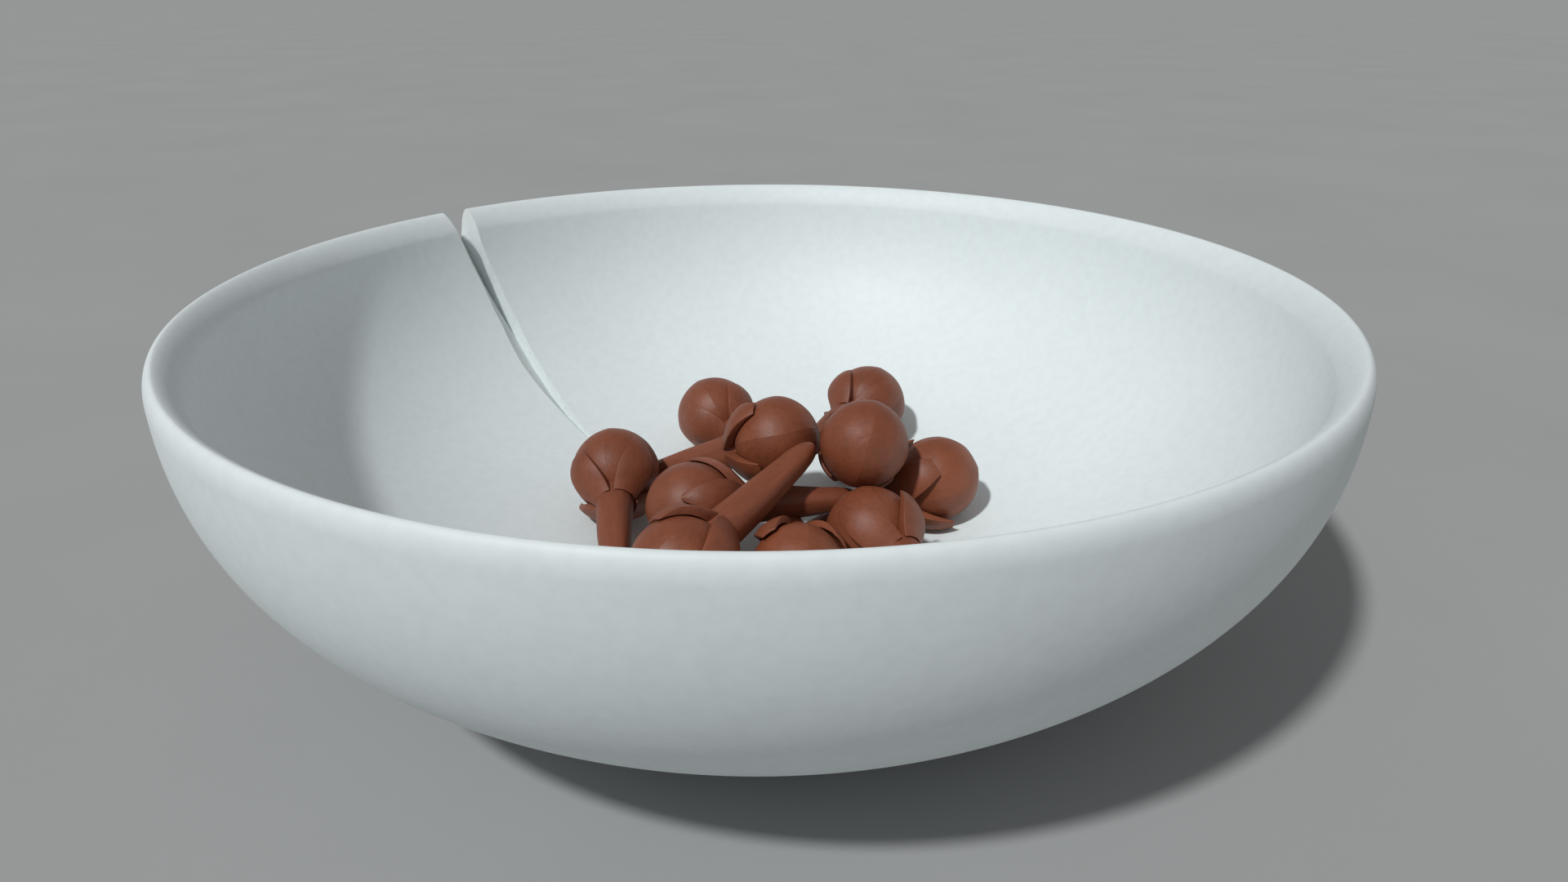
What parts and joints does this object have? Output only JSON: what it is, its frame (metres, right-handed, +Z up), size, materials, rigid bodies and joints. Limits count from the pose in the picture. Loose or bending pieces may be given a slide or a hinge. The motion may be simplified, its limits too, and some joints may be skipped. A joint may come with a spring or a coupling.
{
  "type": "bowl of whole cloves",
  "caption": "Small round white ceramic bowl with a crack down its rim, holding a loose heap of dried whole cloves on its floor.",
  "frame": {"origin": "centre of the flat foot that the bowl stands on", "axes": "+Z up along the bowl's axis; the crack is in the wall towards -X and +Y"},
  "size_m": [0.06, 0.06, 0.019],
  "materials": {
    "bowl_glaze": "satin white glaze with a faint cool tint, bare grainy ceramic in the crack",
    "clove_brown": "dry reddish brown, finely wrinkled, soft sheen"
  },
  "bodies": {
    "root": {"bowl": "bowl_glaze", "cloves": "clove_brown"}
  },
  "joints": []
}
